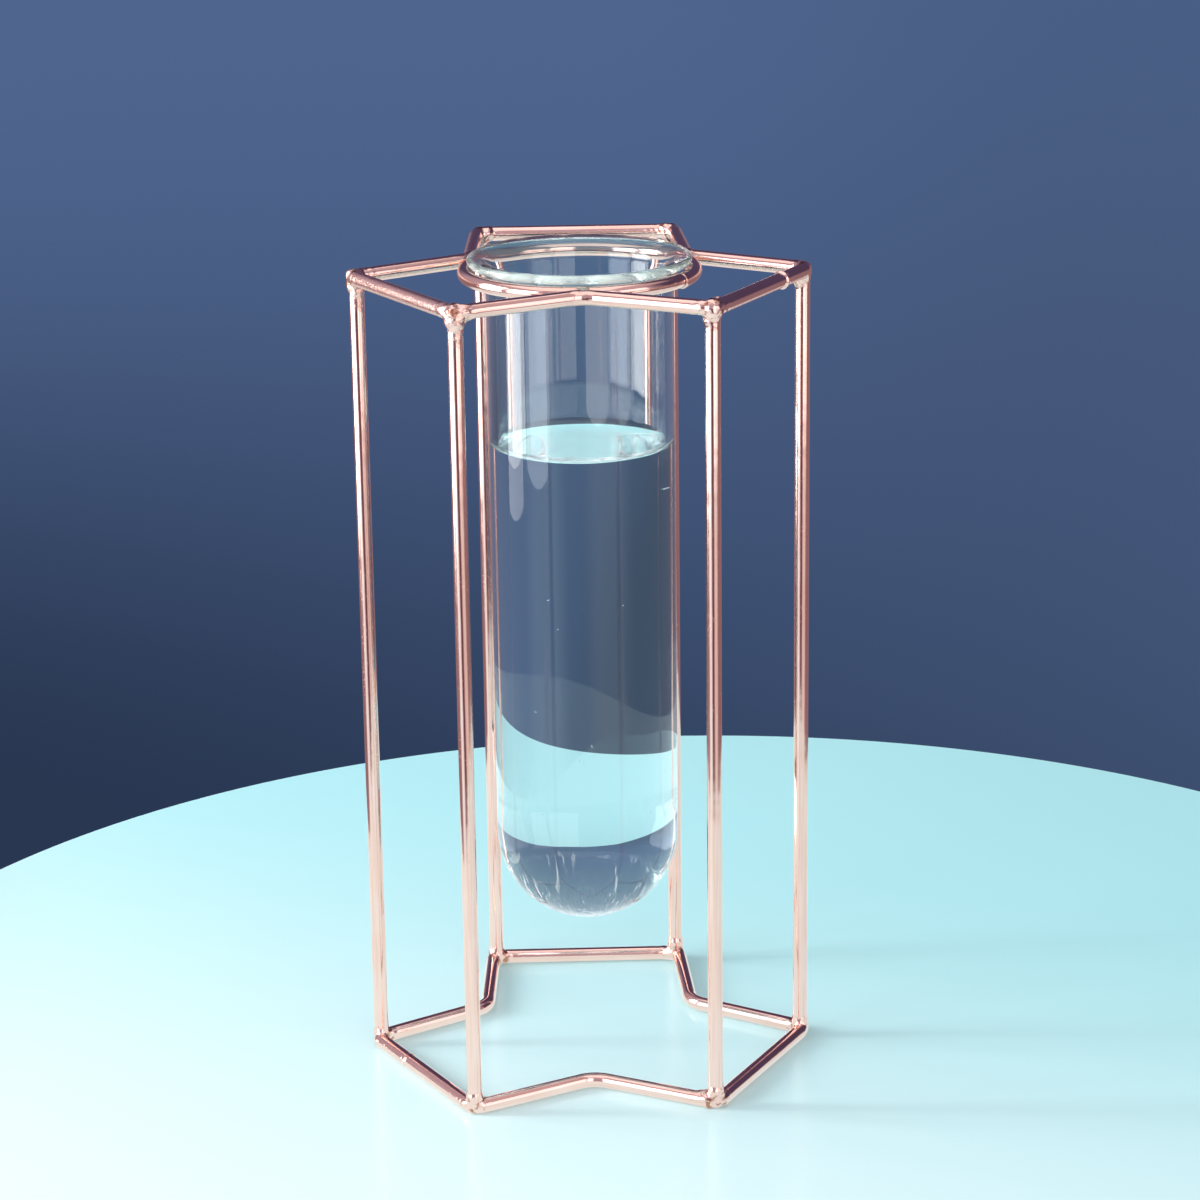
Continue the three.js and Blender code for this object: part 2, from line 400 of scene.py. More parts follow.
def corner_weld(name, level, seed):
    blend, roughness, beads, collars = CORNERS.get((name, level), PLAIN_CORNER)
    axes = [*corner_axes(name), UP * (1 if level == "upper" else -1)]
    place = upright_place(name)
    centre = np.array([*place, LEVELS[level]])

    def spot(offsets):
        return centre + sum(distance * way for distance, way in zip(offsets, axes))

    return Weld(
        centre,
        [lambda p: loop_distance(p, LEVELS[level]), lambda p: upright_distance(p, place)],
        [(spot(start), spot(end), radius) for start, end, radius in beads],
        [(spot(offsets), axes[1], radius, thickness) for offsets, radius, thickness in collars],
        blend,
        roughness,
        seed,
    )


# Beads between the ring and the notches: how far each sits round from the notch's middle, and up
NOTCH_BEADS = {
    "right": [(0.9, 0.3, 1.0), (-0.7, -0.5, 1.1), (0.1, -1.0, 1.0)],
    "back": [(0.8, -0.4, 1.15), (-0.9, -0.2, 1.0)],
    "left": [(0.5, 0.5, 1.05), (-0.6, 0.1, 1.15), (1.4, -0.6, 0.8)],
}


def notch_weld(arm, seed):
    """The weld between the ring and the notch that follows an arm, counter-clockwise."""
    angle = ARM_ANGLES[arm] + ARM_PITCH / 2
    middle = np.array([*polar(angle, RING_RADIUS + WIRE_RADIUS + SEAT_GAP / 2), UPPER_LEVEL])
    across = np.array([*polar(angle + RIGHT_ANGLE), 0])
    spots = [(middle + side * across + lift * UP, radius) for side, lift, radius in NOTCH_BEADS[arm]]
    return Weld(
        middle,
        [lambda p: loop_distance(p, UPPER_LEVEL), ring_distance],
        [(spot, spot, radius) for spot, radius in spots],
        collars=(),
        blend=0.7,
        roughness=0.12,
        seed=seed,
    )


CORNER_WELDS = {
    (name, level): corner_weld(name, level, 11 + i * 2 + j)
    for i, name in enumerate(UPRIGHTS)
    for j, level in enumerate(LEVELS)
}
NOTCH_WELDS = {arm: notch_weld(arm, 41 + i) for i, arm in enumerate(ARM_ANGLES)}


def dressed(points, ways, normals, welds):
    """Moves a wire's surface out or in to the skin of the welds near it, and gives its normals."""
    points, normals = points.copy(), normals.copy()
    for weld in welds:
        near = np.linalg.norm(points - weld.centre, axis=1) < WELD_REACH
        start, way = points[near], ways[near]
        move = np.zeros(len(start))
        for _ in range(SKIN_STEPS):
            move = np.clip(move - SKIN_STRIDE * weld(start + move[:, None] * way), WELD_IN, WELD_OUT)
        skin = start + move[:, None] * way
        points[near] = skin
        on_skin = np.abs(weld(skin)) < SKIN_CLOSE
        found = normals[near]
        found[on_skin] = weld.normals(skin[on_skin])
        normals[near] = found
    return points, normals


# Meshes

WIRE_ROUND = round_angles(WIRE_SIDES)


def put(name, data):
    """An object of the scene with a mesh, a lamp or a camera."""
    thing = bpy.data.objects.new(name, data)
    bpy.context.scene.collection.objects.link(thing)
    return thing


def make_piece(name, points, faces, material, normals=None, marks=None):
    """A mesh from points in millimetres round the tube's axis, which are kept inside the solids' box. Marks
    are values for its points, such as how near to a weld each is."""
    mesh = bpy.data.meshes.new(name)
    placed = np.clip((points + np.array([*AXIS, 0])) * MM, cad_low, cad_high)
    mesh.from_pydata(placed.tolist(), [], faces)
    mesh.materials.append(material)
    mesh.shade_smooth()
    for key, values in (marks or {}).items():
        kind, field = ("FLOAT", "value") if np.ndim(values) == 1 else ("FLOAT_VECTOR", "vector")
        mesh.attributes.new(key, kind, "POINT").data.foreach_set(field, np.ravel(values))
    if normals is not None:
        mesh.normals_split_custom_set_from_vertices(normals.tolist())
    return put(name, mesh)


def grid_faces(rows, sides, closed, first=0):
    """Quads between rows of points that each go round once; a closed grid joins its last row to its first."""
    faces = []
    for i in range(rows if closed else rows - 1):
        here, there = first + i * sides, first + (i + 1) % rows * sides
        for j in range(sides):
            k = (j + 1) % sides
            faces.append((here + j, here + k, there + k, there + j))
    return faces


def capped_faces(rows, sides, first=0):
    """Quads between rows of points, and fans from the first and last row to the two points after the rows."""
    faces = grid_faces(rows, sides, False, first)
    pole, last = first + rows * sides, first + (rows - 1) * sides
    for j in range(sides):
        k = (j + 1) % sides
        faces += [(pole, first + k, first + j), (pole + 1, last + j, last + k)]
    return faces


def wire_piece(node, centres, sides_way, tops_way, radii, welds, closed, material):
    """A round wire swept along stations. Each has a centre, two directions across, and one radius or a
    radius for each side of the wire."""
    angles = WIRE_ROUND - RIGHT_ANGLE
    c, s = np.cos(angles)[None, :, None], np.sin(angles)[None, :, None]
    sides_way, tops_way = (np.broadcast_to(way, centres.shape)[:, None] for way in (sides_way, tops_way))
    ways = c * sides_way + s * tops_way
    radii = np.broadcast_to(radii.reshape(len(centres), -1), (len(centres), WIRE_SIDES))
    points = (centres[:, None] + radii[:, :, None] * ways).reshape(-1, 3)
    slopes = np.gradient(radii, travelled(centres), axis=0)
    normals = ways - slopes[:, :, None] * np.cross(tops_way, sides_way)
    normals /= np.linalg.norm(normals, axis=2)[:, :, None]
    points, normals = dressed(points, ways.reshape(-1, 3), normals.reshape(-1, 3), welds)
    along = np.repeat(travelled(centres), WIRE_SIDES)
    around = np.tile(angles, len(centres))
    run = np.stack([along, WIRE_RADIUS * np.cos(around), WIRE_RADIUS * np.sin(around)], axis=1)
    near = np.max([weld.nearness(points) for weld in welds], axis=0)
    if closed:
        # The directions across a loop and the ring are left-handed, so the quads face in and are turned over
        faces = [face[::-1] for face in grid_faces(len(centres), WIRE_SIDES, True)]
    else:
        faces = capped_faces(len(centres), WIRE_SIDES)
        points = np.vstack([points, centres[0], centres[-1]])
        normals = np.vstack([normals, -UP, UP])
        run = np.vstack([run, run[0], run[-1]])
        near = np.append(near, [1, 1])
    piece = make_piece(node + "_wire", points, faces, material, normals, {"run": run, "weld": near})
    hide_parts(node)
    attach(piece, "stand")


def butt_radii(points, place, heading, height):
    """Radii of a loop's wire round the butt weld, where its two ends meet in a ridge between two grooves."""
    gap = (points - place) @ heading
    beside = np.linalg.norm(points - place, axis=1) < BUTT_REACH
    ripple = 1 + 0.2 * np.sin(2 * WIRE_ROUND + 0.8) + 0.1 * np.sin(5 * WIRE_ROUND)
    ridge = height * np.exp(-((gap / BUTT_RIDGE_WIDTH) ** 4))[:, None] * ripple
    groove = np.exp(-(((np.abs(gap) - BUTT_GROOVE_PLACE) / BUTT_GROOVE_WIDTH) ** 2))[:, None]
    return WIRE_RADIUS + np.where(beside[:, None], ridge - BUTT_GROOVE_SHARE * height * groove, 0)


def loop_piece(level, butt_arm, butt_side, material):
    points, headings = loop_path()
    butt_along = butt_side * (ARM_WIDTH / 2 - BUTT_FROM_CORNER[level])
    butt_place = turned([ARM_REACH, butt_along], ARM_ANGLES[butt_arm])
    start = np.argmin(np.linalg.norm(points - butt_place, axis=1))
    points, headings = np.roll(points, -start, axis=0), np.roll(headings, -start, axis=0)
    # All stations near a weld stay, and one in a few elsewhere
    corners = [upright_place(upright) for upright in UPRIGHTS]
    notches = [polar(angle + ARM_PITCH / 2, NOTCH_RADIUS) for angle in ARM_ANGLES.values()]
    keep = np.linalg.norm(points - butt_place, axis=1) < BUTT_FINE
    for place in (*corners, *notches):
        keep |= np.linalg.norm(points - place, axis=1) < WELD_REACH
    keep[::COARSE_EVERY] = True
    points, headings = points[keep], headings[keep]
    centres = np.column_stack([points, np.full(len(points), LEVELS[level])])
    outward = np.column_stack([headings[:, 1], -headings[:, 0], np.zeros(len(points))])
    radii = butt_radii(points, butt_place, turned([0, 1], ARM_ANGLES[butt_arm]), BUTT_RIDGE[level])
    welds = [weld for (_, at), weld in CORNER_WELDS.items() if at == level]
    if level == "upper":
        welds += NOTCH_WELDS.values()
    wire_piece(level + "_loop", centres, outward, UP, radii, welds, True, material)


def upright_piece(name, material):
    fine = np.arange(0, WELD_REACH, FINE_STEP)
    middle = np.linspace(WELD_REACH, UPPER_LEVEL - LOWER_LEVEL - WELD_REACH, 60)
    heights = LOWER_LEVEL + np.concatenate([fine, middle, UPPER_LEVEL - LOWER_LEVEL - fine[::-1]])
    centres = np.column_stack([np.tile(upright_place(name), (len(heights), 1)), heights])
    radii = np.full(len(heights), WIRE_RADIUS)
    welds = [CORNER_WELDS[name, level] for level in LEVELS]
    wire_piece(name, centres, (1, 0, 0), (0, 1, 0), radii, welds, False, material)


def ring_piece(material):
    """The ring. At its butt weld one end steps out, a proud bead fades along it, and a crack is left."""
    length = 2 * math.pi * RING_RADIUS
    fine = np.arange(-RING_FINE, RING_FINE, RING_FINE_STEP)
    coarse = np.arange(RING_FINE, length - RING_FINE, RING_COARSE_STEP)
    travel = np.concatenate([fine[fine > CRACK_PLACE], coarse, length + fine[fine < CRACK_PLACE]])
    gap = np.where(travel > length / 2, travel - length, travel)
    angles = RING_JOINT_ANGLE + travel / RING_RADIUS
    offset = RING_STEP * np.tanh(gap / RING_STEP_WIDTH) * np.exp(-np.abs(gap) / RING_STEP_FADE)
    outward = np.column_stack([polar(angles), np.zeros(len(angles))])
    centres = (RING_RADIUS + offset)[:, None] * outward + UP * UPPER_LEVEL
    centres[:, 2] -= RING_STEP_DROP * offset
    proud_end = np.where(gap > 0, RING_PROUD * np.exp(-((gap / RING_PROUD_FADE) ** 2)), 0)
    crack = CRACK_DEPTH * np.exp(-(((gap - CRACK_PLACE) / CRACK_WIDTH) ** 2))
    radii = WIRE_RADIUS + proud_end - crack
    wire_piece("holder_ring", centres, outward, UP, radii, NOTCH_WELDS.values(), True, material)


# Glass and water

# How uneven the round bottom's inside is, how far below its centre that starts, and over what depth it
# grows to the full
BOTTOM_UNEVEN = 0.12
LUMPS_START = 9.0
LUMPS_FADE = 6.0
BOTTOM_LUMPS = Waves(23, 6)
BOTTOM_WRINKLES = Waves(29, 3)
INNER_RADIUS = TUBE_RADIUS - GLASS_WALL
BOTTOM_CENTRE = (0.0, TUBE_LOW[2] + TUBE_RADIUS)
LIP_LEVEL = TUBE_HIGH[2] - GLASS_WALL / 2
LIP_BEND = (LIP_RADIUS, LIP_LEVEL - LIP_FLARE - GLASS_WALL / 2)
LIP_UNEVEN = 0.16
# The lip's painted glow: how far outside the wall it starts, and over what width it grows to the full
LIP_GLOW_START = 2.5
LIP_GLOW_FADE = 1.1
BUBBLE_COUNT = 26
BUBBLE_RADII = (0.06, 0.14)
BUBBLE_GAP = 0.06
BUBBLE_RISE = 77.4
ROUND = round_angles(GLASS_SIDES)


def contact_height():
    """Height of the water's edge on the glass, a little uneven round the tube."""
    uneven = 0.10 * np.sin(3 * ROUND + 0.6) + 0.08 * np.sin(7 * ROUND + 2.0) + 0.06 * np.sin(13 * ROUND)
    return WATER_LEVEL + MENISCUS_RISE + uneven


def lip_waves():
    """How far the fire-polished lip shrinks back, between 0 and 1, round the tube."""
    waves = sum(np.sin(n * ROUND + phase) for n, phase in ((5, 0.3), (11, 1.9), (17, 4.0), (29, 2.6)))
    return 0.5 + waves / 8


def arc_profile(centre, radius, start, end, step):
    count = max(4, round(abs(end - start) * radius / step))
    angles = np.linspace(start, end, count + 1)
    return centre + polar(angles, radius)


def turned_rows(rows, sides=GLASS_SIDES):
    """Points of a lathed surface from rows of (radius, height); either may vary round the tube."""
    points = []
    for radius, height in rows:
        flat = polar(round_angles(sides), np.reshape(radius, (-1, 1)))
        points.append(np.column_stack([flat, np.broadcast_to(height, sides)]))
    return np.vstack(points)


def hand_formed(points):
    """Points of the tube's inside and of the water, with the soft lumps of the round bottom."""
    points = points.copy()
    from_middle = points - np.array([0, 0, BOTTOM_CENTRE[1]])
    reach = np.linalg.norm(from_middle, axis=1)
    skin = (from_middle[:, 2] < 0) & (reach < INNER_RADIUS + 0.1)
    depth = np.clip((-from_middle[skin, 2] - LUMPS_START) / LUMPS_FADE, 0, 1)
    lumps = BOTTOM_LUMPS(points[skin]) + BOTTOM_WRINKLES(points[skin])
    points[skin] += from_middle[skin] * (BOTTOM_UNEVEN * depth * lumps / INNER_RADIUS)[:, None]
    return points


def lip_rows():
    """Rows over the rounded lip and down its inner flare. Its edge and top shrink back a little unevenly."""
    inset = LIP_UNEVEN * lip_waves()
    edge = arc_profile((LIP_RADIUS, LIP_LEVEL), GLASS_WALL / 2, -RIGHT_ANGLE, RIGHT_ANGLE, step=0.14)[1:-1]
    rounded = [(radius - inset * max(0.0, radius - LIP_RADIUS), height) for radius, height in edge]
    flare = arc_profile(LIP_BEND, LIP_FLARE + GLASS_WALL, RIGHT_ANGLE, 2 * RIGHT_ANGLE, step=0.3)
    return [(radius, height - inset * max(0.0, height - LIP_LEVEL)) for radius, height in [*rounded, *flare]]


def wall_rows(radius, start, end, count):
    """Rows of a straight wall; the heights of its ends may vary round the tube."""
    return [(radius, height) for height in np.linspace(start, end, count)]


def glass_piece(dry, wet):
    """The tube. Faces that the water wets have a material of their own."""
    outside = [
        *arc_profile(BOTTOM_CENTRE, TUBE_RADIUS, -RIGHT_ANGLE, 0, step=0.6)[1:],
        *wall_rows(TUBE_RADIUS, BOTTOM_CENTRE[1], LIP_BEND[1], 50)[1:-1],
        *arc_profile(LIP_BEND, LIP_FLARE, 2 * RIGHT_ANGLE, RIGHT_ANGLE, step=0.25),
    ]
    line = contact_height()
    above = wall_rows(INNER_RADIUS, LIP_BEND[1], line, 16)[1:-1]
    wetted = [
        *wall_rows(INNER_RADIUS, line, BOTTOM_CENTRE[1], 40)[:-1],
        *arc_profile(BOTTOM_CENTRE, INNER_RADIUS, 0, -RIGHT_ANGLE, step=0.6)[:-1],
    ]
    rows = [*outside, *lip_rows(), *above, *wetted]
    points = turned_rows(rows)
    outer_pole = len(points)
    faces = capped_faces(len(rows), GLASS_SIDES)
    poles = [[0, 0, TUBE_LOW[2]], [0, 0, TUBE_LOW[2] + GLASS_WALL]]
    points = hand_formed(np.vstack([points, poles]))
    outside_wall = np.hypot(points[:, 0], points[:, 1]) - TUBE_RADIUS
    # Where the lip's painted glow goes
    lip = np.clip((outside_wall - LIP_GLOW_START) / LIP_GLOW_FADE, 0, 1)
    piece = make_piece("glass_tube_clear", points, faces, dry, marks={"lip": lip})
    piece.data.materials.append(wet)
    first_wet = (len(rows) - len(wetted)) * GLASS_SIDES
    for polygon in piece.data.polygons:
        corners = polygon.vertices
        polygon.material_index = int(min(corners) >= first_wet and outer_pole not in corners)
    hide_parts("glass_tube")
    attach(piece, "tube")


def bubbles(seed):
    """Places and radii of small air bubbles that cling to the glass under the water."""
    rng = np.random.default_rng(seed)
    spots = []
    for _ in range(BUBBLE_COUNT):
        radius = rng.uniform(*BUBBLE_RADII)
        angle = rng.uniform(0, 2 * math.pi)
        height = BOTTOM_CENTRE[1] + BUBBLE_RISE * rng.uniform(0, 1)
        spots.append((np.array([*polar(angle, INNER_RADIUS - radius - BUBBLE_GAP), height]), radius))
    return spots


def ball(centre, radius, first):
    """A small ball's points and faces, turned inside out, because it is a hollow in the water."""
    rings, sides = 6, 10
    profile = [polar(math.pi * i / rings - RIGHT_ANGLE, radius) for i in range(1, rings)]
    points = np.vstack([turned_rows(profile, sides), -radius * UP, radius * UP])
    return centre + points, [face[::-1] for face in capped_faces(rings - 1, sides, first)]


def sharpen(mesh, first, end):
    """Parts the shading on the two sides of a row of points."""
    for edge in mesh.edges:
        edge.use_edge_sharp = first <= min(edge.vertices) and max(edge.vertices) < end


def water_top(radius, line):
    """Rows of the water's top from its edge inwards, with the meniscus and faint ripples."""
    from_wall = np.concatenate([np.linspace(0, 4, 33), np.linspace(4, radius, 30)[1:-1]])
    ripples = Waves(5, 14)
    rows = []
    for reach in radius - from_wall[1:]:
        flat = np.column_stack([polar(ROUND, reach), 0 * ROUND])
        rise = (line - WATER_LEVEL) * math.exp((reach - radius) / MENISCUS_WIDTH)
        rows.append((reach, WATER_LEVEL + rise + RIPPLE * ripples(flat)))
    return rows, WATER_LEVEL + RIPPLE * ripples(np.zeros((1, 3)))[0]


def water_piece(surface, against_glass):
    """The water. Its top curves up to the glass; its sides lie against the wetted glass."""
    radius = INNER_RADIUS - WATER_CLEARANCE
    line = contact_height()
    under = arc_profile(BOTTOM_CENTRE, radius, -RIGHT_ANGLE, 0, step=0.6)[1:]
    rise = wall_rows(radius, BOTTOM_CENTRE[1], line, 40)[1:]
    top, middle = water_top(radius, line)
    rows = [*under, *rise, *top]
    points = np.vstack([turned_rows(rows), [0, 0, BOTTOM_CENTRE[1] - radius], [0, 0, middle]])
    points = hand_formed(points)
    faces = capped_faces(len(rows), GLASS_SIDES)
    first_top = (len(under) + len(rise) - 1) * GLASS_SIDES
    top_faces = len(faces)
    for centre, size in bubbles(3):
        more, shell = ball(centre, size, len(points))
        points = np.vstack([points, more])
        faces += shell
    piece = make_piece("water", points, faces, surface)
    piece.data.materials.append(against_glass)
    sharpen(piece.data, first_top, first_top + GLASS_SIDES)
    for index, polygon in enumerate(piece.data.polygons):
        polygon.material_index = int(index < top_faces and min(polygon.vertices) < first_top)
    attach(piece, "tube")


# Materials

ROSE = (0.90, 0.63, 0.55, 1)
DEEP_ROSE = (0.88, 0.585, 0.50, 1)
LINE_ROSE = (0.80, 0.49, 0.41, 1)
SCORCHED = (0.36, 0.13, 0.06, 1)
PLATING_ROUGHNESS = 0.095
CLEAR_GLASS = (0.985, 0.998, 0.992, 1)
LIP_GLASS = (0.88, 1.0, 0.92, 1)
CLEAR_WATER = (0.99, 0.998, 1.0, 1)
GLASS_IOR = 1.47
WATER_IOR = 1.333
# Where the grainy skin on the left arm's end starts and is full, from the table up
SPATTER_LEVELS = (168, 171)
# Where the round bottom's marks and painted glints start and are full, from the tube's lowest point up, and
# the part at the pole that is swirled instead
SHOULDER = (12.5, 7.0)
POLE = (9.5, 3.0)
STREAK_CLIMB = 6.0


def new_material(name):
    """A material, its tree without nodes, and the place of a point in the object's own coordinates."""
    material = bpy.data.materials.new(name)
    material.use_nodes = True
    tree = material.node_tree
    tree.nodes.clear()
    return material, tree, add(tree, "TexCoord").outputs["Object"]


def add(tree, kind, settings=None, **inputs):
    """Adds a shader node. A socket given for an input is linked to it, and a value is set on it."""
    node = tree.nodes.new("ShaderNode" + kind)
    for key, value in (settings or {}).items():
        setattr(node, key, value)
    for key, value in inputs.items():
        connect(node.inputs[key.replace("_", " ")], value)
    return node


def connect(socket, value):
    """Links an input to another socket, or sets a value on it."""
    if isinstance(value, bpy.types.NodeSocket):
        socket.id_data.links.new(value, socket)
    else:
        socket.default_value = value


def parts(vector):
    """The X, Y and Z of a vector."""
    return list(add(vector.id_data, "SeparateXYZ", Vector=vector).outputs)


def calculate(operation, *values):
    """One operation on numbers and sockets, of which at least one is a socket."""
    tree = next(value.id_data for value in values if isinstance(value, bpy.types.NodeSocket))
    node = add(tree, "Math", {"operation": operation})
    for socket, value in zip(node.inputs, values):
        connect(socket, value)
    return node.outputs[0]


def product(first, second):
    return calculate("MULTIPLY", first, second)


def total(value, *more):
    for other in more:
        value = calculate("ADD", value, other)
    return value


def noise(vector, scale, stretch=(1, 1, 1), detail=2.0, roughness=0.5):
    """Noise of about 0 to 1; scale is waves for each unit of the vector, and stretch weighs its axes."""
    tree = vector.id_data
    scaled = add(tree, "VectorMath", {"operation": "MULTIPLY"})
    connect(scaled.inputs[0], vector)
    connect(scaled.inputs[1], stretch)
    node = add(tree, "TexNoise", Vector=scaled.outputs[0], Scale=scale, Detail=detail, Roughness=roughness)
    return node.outputs["Fac"]


def ranged(value, low, high, to_low=0.0, to_high=1.0):
    """Maps a value smoothly from one range to another and stops at its ends."""
    node = add(value.id_data, "MapRange", {"interpolation_type": "SMOOTHSTEP"}, Value=value)
    for key, number in (("From Min", low), ("From Max", high), ("To Min", to_low), ("To Max", to_high)):
        node.inputs[key].default_value = number
    return node.outputs["Result"]


def mixed(share, first, second):
    """Mixes two colours."""
    node = add(share.id_data, "Mix", {"data_type": "RGBA"}, Factor=share)
    connect(node.inputs[6], first)
    connect(node.inputs[7], second)
    return node.outputs[2]


def mixed_shaders(share, first, second):
    node = add(share.id_data, "MixShader")
    for socket, value in zip(node.inputs, (share, first, second)):
        connect(socket, value)
    return node.outputs[0]


def bumped(*layers):
    """Bumps laid on one another. Each has its pattern and its height in millimetres."""
    below = {}
    for pattern, height in layers:
        node = add(pattern.id_data, "Bump", Height=pattern, Distance=height * MM, **below)
        below = {"Normal": node.outputs["Normal"]}
    return below["Normal"]


def surface(tree, **inputs):
    return add(tree, "BsdfPrincipled", **inputs).outputs["BSDF"]


def finish(shader):
    add(shader.id_data, "OutputMaterial", Surface=shader)


def spatter_zone(place):
    """1 on the end of the upper loop's left arm, where welding has left a grainy skin, and 0 elsewhere."""
    outward = add(place.id_data, "VectorMath", {"operation": "DOT_PRODUCT"})
    connect(outward.inputs[0], place)
    connect(outward.inputs[1], (*polar(ARM_ANGLES["left"]), 0))
    reach = ranged(outward.outputs["Value"], (ARM_REACH - 1.5) * MM, (ARM_REACH - 0.5) * MM)
    start, full = SPATTER_LEVELS
    return product(reach, ranged(parts(place)[2], start * MM, full * MM))


def plating():
    """Rose-gold plating over drawn wire: draw lines, soft dents, specks, and wrinkled, darker welds."""
    material, tree, place = new_material("rose_plating")
    run = add(tree, "Attribute", {"attribute_name": "run"}).outputs["Vector"]
    weld = add(tree, "Attribute", {"attribute_name": "weld"}).outputs["Fac"]
    lines = noise(run, 2.2, (0.02, 1, 1), 3)
    dents = noise(run, 0.35, (0.5, 1, 1), 1)
    grain = noise(run, 3.0, (0.7, 1, 1))
    patches = noise(place, 90)
    specks = product(ranged(grain, 0.66, 0.74), ranged(patches, 0.5, 0.6))
    wrinkles = product(noise(place, 1300, detail=3, roughness=0.6), weld)
    grainy = spatter_zone(place)
    spatter = product(noise(place, 1900, roughness=0.6), grainy)
    rose = mixed(ranged(patches, 0.35, 0.7), ROSE, DEEP_ROSE)
    rose = mixed(ranged(lines, 0.42, 0.66, 0.0, 0.5), rose, LINE_ROSE)
    scorch = ranged(noise(place, 560), 0.53, 0.64)
    colour = mixed(product(scorch, ranged(weld, 0.3, 0.6, 0.0, 0.85)), rose, SCORCHED)
    rough = total(
        PLATING_ROUGHNESS,
        product(lines, 0.05),
        product(specks, 0.12),
        product(weld, 0.04),
        product(grainy, 0.12),
    )
    bump = bumped((spatter, 0.10), (dents, 0.045), (lines, 0.0025), (specks, 0.012), (wrinkles, 0.10))
    finish(surface(tree, Base_Color=colour, Roughness=rough, Metallic=1.0, Normal=bump))
    return material


def seen_through(shader, tint):
    """Lets light from lamps, and light that a matt surface gathers, pass straight through."""
    tree = shader.id_data
    path = add(tree, "LightPath").outputs
    straight = calculate("MAXIMUM", path["Is Shadow Ray"], path["Is Diffuse Ray"])
    return mixed_shaders(straight, shader, add(tree, "BsdfTransparent", Color=tint).outputs[0])


def bottom_zone(height, upper, lower):
    """0 above and 1 below two heights, which are measured from the tube's lowest point."""
    return ranged(height, (TUBE_LOW[2] + upper) * MM, (TUBE_LOW[2] + lower) * MM)


def painted_glint_streaks(height, meridian, side_share, pole):
    """Short pale streaks in the round bottom, painted glints of window light, which crowd and climb higher on
    the left and right.
    """
    sideways = product(side_share, side_share)
    streaks = total(noise(meridian, 21, roughness=0.6), product(sideways, 0.09))
    climbed = calculate("SUBTRACT", height, product(sideways, STREAK_CLIMB * MM))
    zone = calculate("SUBTRACT", bottom_zone(climbed, *SHOULDER), pole)
    return product(ranged(streaks, 0.62, 0.70), zone)


def glass_material(name, ior, outside):
    """Clear, faintly green glass with slight drawing waves, fine scratches and specks. Its outside has short
    pale streaks in the round bottom, painted glints of window light."""
    material, tree, place = new_material(name)
    waves = noise(place, 70, (1, 1, 0.15), 1)
    marks = ranged(noise(place, 900, (1, 1, 0.35), 2, 0.6), 0.73, 0.80)
    scratches = ranged(noise(place, 1500, (1, 1, 0.02), 1), 0.76, 0.80)
    rough = total(product(marks, 0.22), product(scratches, 0.08))
    across, along, height = parts(place)
    # Marks in the round bottom run towards its pole, so they vary with the direction from the axis
    level = add(tree, "CombineXYZ", X=across, Y=along).outputs[0]
    facing = add(tree, "VectorMath", {"operation": "NORMALIZE"}, Vector=level).outputs[0]
    side_share, front_share, _ = parts(facing)
    meridian = add(tree, "CombineXYZ", X=side_share, Y=front_share, Z=product(height, 9.0)).outputs[0]
    flutes = product(noise(meridian, 9), bottom_zone(height, *SHOULDER))
    pole = bottom_zone(height, *POLE)
    swirls = add(tree, "TexNoise", Vector=place, Scale=260.0, Detail=1.0, Distortion=1.6).outputs["Fac"]
    bump = bumped((waves, 0.02), (flutes, 0.30), (product(swirls, pole), 0.2), (marks, 0.006))
    # The lip gathers light from along the wall; a painted glow of milky green stands in for that light,
    # stronger on the lip's front
    lip = add(tree, "Attribute", {"attribute_name": "lip"}).outputs["Fac"]
    colour = mixed(lip, CLEAR_GLASS, LIP_GLASS)
    nearer = ranged(along, 0.016, 0.0, 0.06, 1.0)
    swirl = ranged(noise(place, 170, detail=1), 0.4, 0.6, 0.18, 0.5)
    painted_glow = product(product(lip, nearer), swirl)
    if outside:
        # Painted glints of window light in the round bottom join the lip's painted glow
        streaks = painted_glint_streaks(height, meridian, side_share, pole)
        painted_glow = calculate("MAXIMUM", painted_glow, product(streaks, 0.6))
    clear = calculate("SUBTRACT", 1.0, painted_glow)
    glass = surface(
        tree, Base_Color=colour, Roughness=rough, IOR=ior, Transmission_Weight=clear, Normal=bump
    )
    finish(seen_through(glass, (0.97, 0.985, 0.98, 1)))
    return material


def water_material():
    material, tree, place = new_material("water_surface")
    bump = bumped((noise(place, 160, detail=1), 0.02))
    water = surface(
        tree, Base_Color=CLEAR_WATER, Roughness=0.0, IOR=WATER_IOR, Transmission_Weight=1.0, Normal=bump
    )
    finish(seen_through(water, (0.985, 0.99, 0.99, 1)))
    return material


def wetted_side():
    """The water's side, where the wetted glass already bends the light."""
    material, tree, place = new_material("water_against_glass")
    film = mixed(noise(place, 60), (1, 1, 1, 1), (0.985, 0.995, 1, 1))
    finish(add(tree, "BsdfTransparent", Color=film).outputs[0])
    return material


